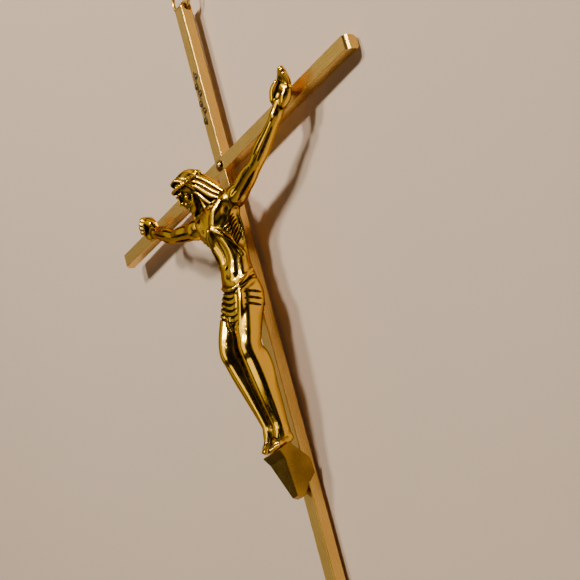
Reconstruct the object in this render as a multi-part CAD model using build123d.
from build123d import *
import math
import os

os.makedirs("parts", exist_ok=True)

# Wall crucifix: two square bars half-lapped into a cross, a hanging ring in an eye at the top,
# a foot block and a cast figure stood off the bars on studs.
# Origin: centre of the crossing on the back plane. +Z up, -Y towards the front, +X to the viewer's right.

# Driving dimensions, mm
BAR = 6.35                # side of the square bar stock, a quarter inch
CROSS_LENGTH = 200.0      # length of the crossbar
TOTAL_HEIGHT = 305.0      # height of the upright, twelve inches
EYE_Z = 81.0              # height of the eye's hole above the crossing
EYE_HOLE_R = 2.0          # radius of the eye's hole
BACK_CHAMFER = 1.4        # chamfer along the bars' back edges
FRONT_ROUND = 0.3         # small rounding along the bars' front edges
SCOOP_X = 1.8             # how far an end scoop reaches along the crossbar
SCOOP_Y = 1.75            # how far an end scoop reaches back from the front face
SCOOP_R = 2.4             # radius of the scoop
RING_R = 7.0              # mean radius of the hanging ring
RING_WIRE_R = 0.8         # radius of the ring's wire
RING_DROP = 0.1           # the ring's wire sits this far below the centre of the eye's hole
PIN_HEAD_R = 2.65         # radius of the crossing pin's domed head
PIN_HEAD_H = 1.6          # height of the domed head
PIN_STOP = 1.2            # the pin's blind hole leaves this much of the upright whole at the back
STUD_R = 1.0              # radius of the pin's shank, the hand studs and the foot stud
NUT_R = 2.1               # radius of the round nuts sunk into the back of the crossbar
NUT_H = 1.6               # thickness of a nut
SCREW_HEAD_R = 1.9        # radius of the block screw's head
HAND_X = 61.5             # distance of each hand stud from the upright's centre line
HAND_SINK = 1.2           # how far a stud goes into the back of the hand

front = -BAR              # the bars' front plane
mid = -BAR / 2            # half the bars' depth
top_z = EYE_Z + BAR / 2
bottom_z = top_z - TOTAL_HEIGHT


def at(x, stand, z):
    """A point that stands the given distance in front of the bars' front faces."""
    return Vector(x, front - stand, z)


def rod(start, end, radius):
    """A plain cylinder between two points."""
    axis = end - start
    return Plane(origin=start, z_dir=axis) * Cylinder(
        radius, axis.length, align=(Align.CENTER, Align.CENTER, Align.MIN))


def square_bar(length):
    """A bar along Z, centred on X = 0 and on its length, with its back on Y = 0."""
    bar = Pos(0, mid, 0) * Box(BAR, BAR, length)
    long_edges = bar.edges().filter_by(Axis.Z)
    back = [e for e in long_edges if e.center().Y > mid]
    bar = chamfer(back, BACK_CHAMFER)
    long_edges = bar.edges().filter_by(Axis.Z)
    ahead = [e for e in long_edges if e.center().Y < front + 0.01]
    return fillet(ahead, FRONT_ROUND)


def nut_seat(x):
    """The round recess for a nut in the back of the crossbar."""
    return rod(Vector(x, -NUT_H, 0), Vector(x, 1, 0), NUT_R + 0.05)


def skin(sections):
    """A smooth solid through elliptical sections (plane, half-width, half-height)."""
    faces = [plane * Ellipse(a, b) for plane, a, b in sections]
    return loft([f.face() for f in faces])


def level(x, stand, z, half_x, half_y):
    """A level section for a trunk or a leg."""
    return Plane(origin=at(x, stand, z), x_dir=(1, 0, 0), z_dir=(0, 0, 1)), half_x, half_y


def upright(x, stand, z, half_y, half_z, side):
    """A section across an arm, whose length runs along X; side is +1 or -1."""
    return Plane(origin=at(x, stand, z), x_dir=(0, 1, 0), z_dir=(side, 0, 0)), half_y, half_z


def across(x, stand, z, half_x, half_z):
    """A section across a foot, whose length runs towards the front."""
    return Plane(origin=at(x, stand, z), x_dir=(1, 0, 0), z_dir=(0, -1, 0)), half_x, half_z


def egg(x, stand, z, half_x, half_y, half_z, pitch=0.0, roll=0.0):
    """An ellipsoid, tipped forward by pitch and sideways by roll."""
    profile = Pos(half_x / 2, 0) * Rectangle(half_x, 2 * half_z) & Ellipse(half_x, half_z)
    body = revolve(Plane.XZ * profile, Axis.Z)
    body = scale(body, by=(1, half_y / half_x, 1))
    return Pos(*at(x, stand, z)) * Rot(pitch, roll, 0) * body


# Bars ---------------------------------------------------------------------------------------

upright_bar = Pos(0, 0, (top_z + bottom_z) / 2) * square_bar(TOTAL_HEIGHT)
# the eye: round the upper end about the hole's axis
above = Pos(0, mid, EYE_Z + BAR) * Box(2 * BAR, 2 * BAR, 2 * BAR)
eye = rod(Vector(-BAR, mid, EYE_Z), Vector(BAR, mid, EYE_Z), BAR / 2)
upright_bar -= above - eye
upright_bar -= rod(Vector(-BAR, mid, EYE_Z), Vector(BAR, mid, EYE_Z), EYE_HOLE_R)
# the front half of the crossing is cut away for the crossbar
upright_bar -= Pos(0, front + BAR / 4, 0) * Box(2 * BAR, BAR / 2, BAR)
upright_bar -= rod(Vector(0, -BAR, 0), Vector(0, -PIN_STOP, 0), STUD_R)

cross_bar = Rot(0, 90, 0) * square_bar(CROSS_LENGTH)
cross_bar -= Pos(0, mid / 2, 0) * Box(BAR, -mid, 2 * BAR)
cross_bar -= rod(Vector(0, front - 1, 0), Vector(0, 1, 0), STUD_R)
scoop_chord = math.hypot(SCOOP_X, SCOOP_Y)
scoop_out = math.sqrt(SCOOP_R ** 2 - (scoop_chord / 2) ** 2)
scoop_x = CROSS_LENGTH / 2 - SCOOP_X / 2 + scoop_out * SCOOP_Y / scoop_chord
scoop_y = front + SCOOP_Y / 2 - scoop_out * SCOOP_X / scoop_chord
for side in (-1, 1):
    cross_bar -= Pos(side * scoop_x, scoop_y, 0) * Cylinder(SCOOP_R, 2 * BAR)
    cross_bar -= rod(Vector(side * HAND_X, front - 1, 0), Vector(side * HAND_X, 1, 0), STUD_R)
    cross_bar -= nut_seat(side * HAND_X)

# Crossing pin, driven into a blind hole so that the back stays flat, and the hand studs' nuts ----

dome_r = (PIN_HEAD_R ** 2 + PIN_HEAD_H ** 2) / (2 * PIN_HEAD_H)
dome = Pos(0, front + dome_r - PIN_HEAD_H, 0) * Sphere(dome_r)
dome &= Pos(0, front - PIN_HEAD_H, 0) * Box(4 * PIN_HEAD_R, 2 * PIN_HEAD_H, 4 * PIN_HEAD_R)
crossing_pin = dome + rod(Vector(0, front - PIN_HEAD_H / 2, 0), Vector(0, -PIN_STOP, 0), STUD_R)


def nut(x):
    """A round nut flush with the back, with a screwdriver slot."""
    body = rod(Vector(x, -NUT_H, 0), Vector(x, 0, 0), NUT_R)
    body -= rod(Vector(x, -NUT_H - 1, 0), Vector(x, 1, 0), STUD_R)
    return body - Pos(x, 0, 0) * Box(2 * BAR, 0.9, 0.7)


stud_nuts = Compound(children=[nut(-HAND_X), nut(HAND_X)])

# Hanging ring --------------------------------------------------------------------------------

ring_z = EYE_Z - RING_DROP + RING_R
hanging_ring = Pos(0, mid, ring_z) * Rot(90, 0, 0) * Torus(RING_R, RING_WIRE_R)

# Foot block ----------------------------------------------------------------------------------

# Side outline as (distance in front of the bars' front faces, height); negative lies beside the bar.
BLOCK_OUTLINE = [
    (7.0, -128.3),        # ridge under the heels
    (12.2, -130.8),       # toe edge
    (10.1, -134.2),       # upper edge of the front face
    (6.2, -149.4),        # lower edge of the front face
    (4.0, -150.3),
    (1.9, -149.3),
    (-0.5, -145.1),
    (-3.8, -141.2),       # rearmost corner, beside the bar
    (-2.4, -135.3),
]
BLOCK_WIDE_Z = -128.3
BLOCK_HALF_WIDE = 7.3     # half-width at the ridge
BLOCK_NARROW_Z = -150.3
BLOCK_HALF_NARROW = 1.7   # half-width at the foot
BLOCK_ROUND = 0.35        # rounding of all its edges

outline = Plane.YZ * Polyline([(front - s, z) for s, z in BLOCK_OUTLINE], close=True)
foot_block = extrude(make_face(outline), BLOCK_HALF_WIDE, both=True)
taper = Plane.XZ * Polyline([
    (-BLOCK_HALF_WIDE, BLOCK_WIDE_Z),
    (BLOCK_HALF_WIDE, BLOCK_WIDE_Z),
    (BLOCK_HALF_NARROW, BLOCK_NARROW_Z),
    (-BLOCK_HALF_NARROW, BLOCK_NARROW_Z),
], close=True)
foot_block &= extrude(make_face(taper), 5 * BAR, both=True)
foot_block = fillet(foot_block.edges(), BLOCK_ROUND)
foot_block -= Pos(0, mid, BLOCK_WIDE_Z - 10) * Box(BAR, BAR, 60)

SCREW_Z = -138.0
screw_tip = at(0, 5.0, SCREW_Z)
foot_block -= rod(Vector(0, 1, SCREW_Z), screw_tip, STUD_R)
upright_bar -= rod(Vector(0, 1, SCREW_Z), at(0, 1, SCREW_Z), STUD_R)
upright_bar -= rod(Vector(0, -1.4, SCREW_Z), Vector(0, 1, SCREW_Z), SCREW_HEAD_R + 0.05)
block_screw = rod(Vector(0, -1.4, SCREW_Z), screw_tip, STUD_R)
block_screw += rod(Vector(0, -1.4, SCREW_Z), Vector(0, -0.1, SCREW_Z), SCREW_HEAD_R)
block_screw -= Pos(0, 0, SCREW_Z) * Box(2 * BAR, 1.2, 0.6)

# Figure --------------------------------------------------------------------------------------

trunk = skin([
    level(0.4, 9.4, -20.5, 5.5, 4.0),
    level(0.6, 9.0, -23.5, 10.2, 6.0),
    level(1.0, 8.9, -30.0, 11.4, 7.4),
    level(2.2, 8.4, -36.0, 10.0, 7.0),
    level(3.6, 7.5, -45.0, 7.4, 5.6),
    level(3.6, 7.8, -55.0, 8.2, 6.0),
    level(3.6, 8.0, -63.0, 9.8, 7.0),
    level(3.6, 8.2, -71.0, 9.6, 6.8),
])
legs = [
    skin([
        level(7.2, 8.8, -62.0, 5.2, 5.8),
        level(7.1, 10.6, -73.0, 5.4, 6.0),
        level(6.8, 13.0, -84.0, 4.3, 5.0),
        level(6.8, 13.0, -91.5, 3.9, 4.8),
        level(6.6, 11.2, -99.0, 4.1, 5.1),
        level(5.8, 9.2, -110.0, 3.2, 4.0),
        level(4.7, 7.2, -122.0, 2.4, 2.8),
        level(4.5, 6.8, -126.0, 2.3, 2.6),
    ]),
    skin([
        level(-1.0, 9.2, -62.0, 5.4, 5.8),
        level(-2.2, 12.0, -73.0, 6.0, 6.4),
        level(-3.2, 15.3, -84.0, 5.1, 5.6),
        level(-3.1, 14.6, -91.0, 4.6, 5.4),
        level(-2.2, 12.6, -99.0, 4.7, 5.7),
        level(-0.9, 10.6, -109.5, 3.9, 4.7),
        level(0.0, 9.0, -121.5, 2.5, 3.0),
        level(-0.3, 8.6, -126.0, 2.3, 2.6),
    ]),
]
feet = [
    skin([
        across(4.5, 4.6, -125.6, 2.2, 2.2),
        across(4.2, 7.6, -126.2, 2.4, 2.6),
        across(3.4, 10.6, -128.2, 2.6, 2.0),
        across(3.0, 14.4, -130.6, 2.5, 1.2),
    ]),
    skin([
        across(-0.3, 6.4, -125.4, 2.2, 2.2),
        across(-0.7, 9.4, -126.0, 2.5, 2.6),
        across(-1.3, 12.6, -128.0, 2.6, 2.0),
        across(-1.7, 16.4, -130.4, 2.5, 1.2),
    ]),
]
head = egg(-5.0, 15.0, -10.5, 7.2, 8.2, 9.6, pitch=22, roll=-14)
neck = rod(at(-1.0, 9.6, -24.0), at(-3.8, 13.0, -15.0), 4.2)
hair = rod(at(1.5, 11.5, -11.0), at(7.5, 10.0, -21.0), 2.4)
cloth = skin([
    level(3.3, 8.0, -55.5, 8.8, 6.4),
    level(3.6, 8.4, -61.0, 10.6, 7.7),
    level(3.4, 8.9, -67.0, 10.9, 8.0),
    level(2.9, 10.0, -74.0, 9.6, 7.4),
])
corpus_body = trunk + legs + feet + head + neck + hair + cloth

SHOULDER_X = 9.0          # the arms end in flat seats this far from the centre line
HAND_R = 2.9              # radius of the palm


def arm(side, sections, palm, tips):
    """An arm from the shoulder seat to the open hand."""
    limb = skin([upright(side * x, s, z, hy, hz, side) for x, s, z, hy, hz in sections])
    reach = at(*tips) - at(*palm)
    hand = Plane(origin=at(*palm), z_dir=reach) * Cone(
        2.7, 2.2, reach.length, align=(Align.CENTER, Align.CENTER, Align.MIN))
    hand += Pos(*at(*palm)) * Sphere(HAND_R)
    hand += Pos(*at(*tips)) * Sphere(2.3)
    return limb + hand


LEFT_PALM = (61.0, 4.9, -0.6)
left_arm = arm(1, [
    (9.0, 8.6, -23.8, 4.4, 4.6),
    (15.5, 6.8, -22.8, 4.6, 4.7),
    (26.0, 6.9, -20.0, 3.9, 4.0),
    (36.5, 7.2, -17.2, 3.2, 3.4),
    (42.5, 7.0, -14.2, 3.4, 3.8),
    (50.0, 6.8, -10.2, 2.7, 3.1),
    (55.5, 6.4, -7.0, 2.3, 2.7),
    (59.5, 5.2, -2.8, 2.4, 3.0),
], LEFT_PALM, (65.6, 6.0, 6.0))
RIGHT_PALM = (-58.4, 6.2, -2.2)
right_arm = arm(-1, [
    (8.0, 9.3, -24.8, 4.4, 4.6),
    (14.5, 9.6, -23.8, 4.6, 4.7),
    (24.0, 9.9, -20.8, 3.9, 4.0),
    (34.4, 10.2, -17.4, 3.2, 3.4),
    (40.0, 9.5, -14.2, 3.4, 3.8),
    (46.0, 8.5, -10.8, 2.7, 3.1),
    (51.5, 7.6, -7.4, 2.3, 2.7),
    (56.0, 6.6, -4.2, 2.4, 3.0),
], RIGHT_PALM, (-62.4, 6.9, 1.2))

# each arm ends in a flat seat inside the trunk's shoulder
left_arm -= Pos(SHOULDER_X - 30, front - 9, -20) * Box(60, 60, 60)
right_arm -= Pos(30 - SHOULDER_X, front - 9, -20) * Box(60, 60, 60)
corpus_body -= left_arm
corpus_body -= right_arm

# Studs ---------------------------------------------------------------------------------------

left_tip = at(HAND_X, LEFT_PALM[1] - HAND_R + HAND_SINK, 0)
right_tip = at(-HAND_X, RIGHT_PALM[1] - 1.7 + HAND_SINK, 0)
left_stud = rod(Vector(HAND_X, -0.2, 0), left_tip, STUD_R)
right_stud = rod(Vector(-HAND_X, -0.2, 0), right_tip, STUD_R)
hand_studs = Compound(children=[left_stud, right_stud])
left_arm -= left_stud
right_arm -= right_stud

FOOT_STUD_FROM = at(0.4, 9.4, -133.0)
FOOT_STUD_TO = at(0.4, 9.4, -126.0)
foot_stud = rod(FOOT_STUD_FROM, FOOT_STUD_TO, STUD_R)
corpus_body -= foot_block
foot_block -= foot_stud
corpus_body -= foot_stud

parts = {
    "upright_bar": upright_bar,
    "cross_bar": cross_bar,
    "crossing_pin": crossing_pin,
    "stud_nuts": stud_nuts,
    "hanging_ring": hanging_ring,
    "foot_block": foot_block,
    "block_screw": block_screw,
    "corpus_body": corpus_body,
    "left_arm": left_arm,
    "right_arm": right_arm,
    "hand_studs": hand_studs,
    "foot_stud": foot_stud,
}
for name, shape in parts.items():
    export_step(shape, "parts/" + name + ".step")
    box = shape.bounding_box()
    print(name, len(shape.solids()), shape.is_valid, round(shape.volume, 1),
          [round(v, 2) for v in (*box.min, *box.max)])
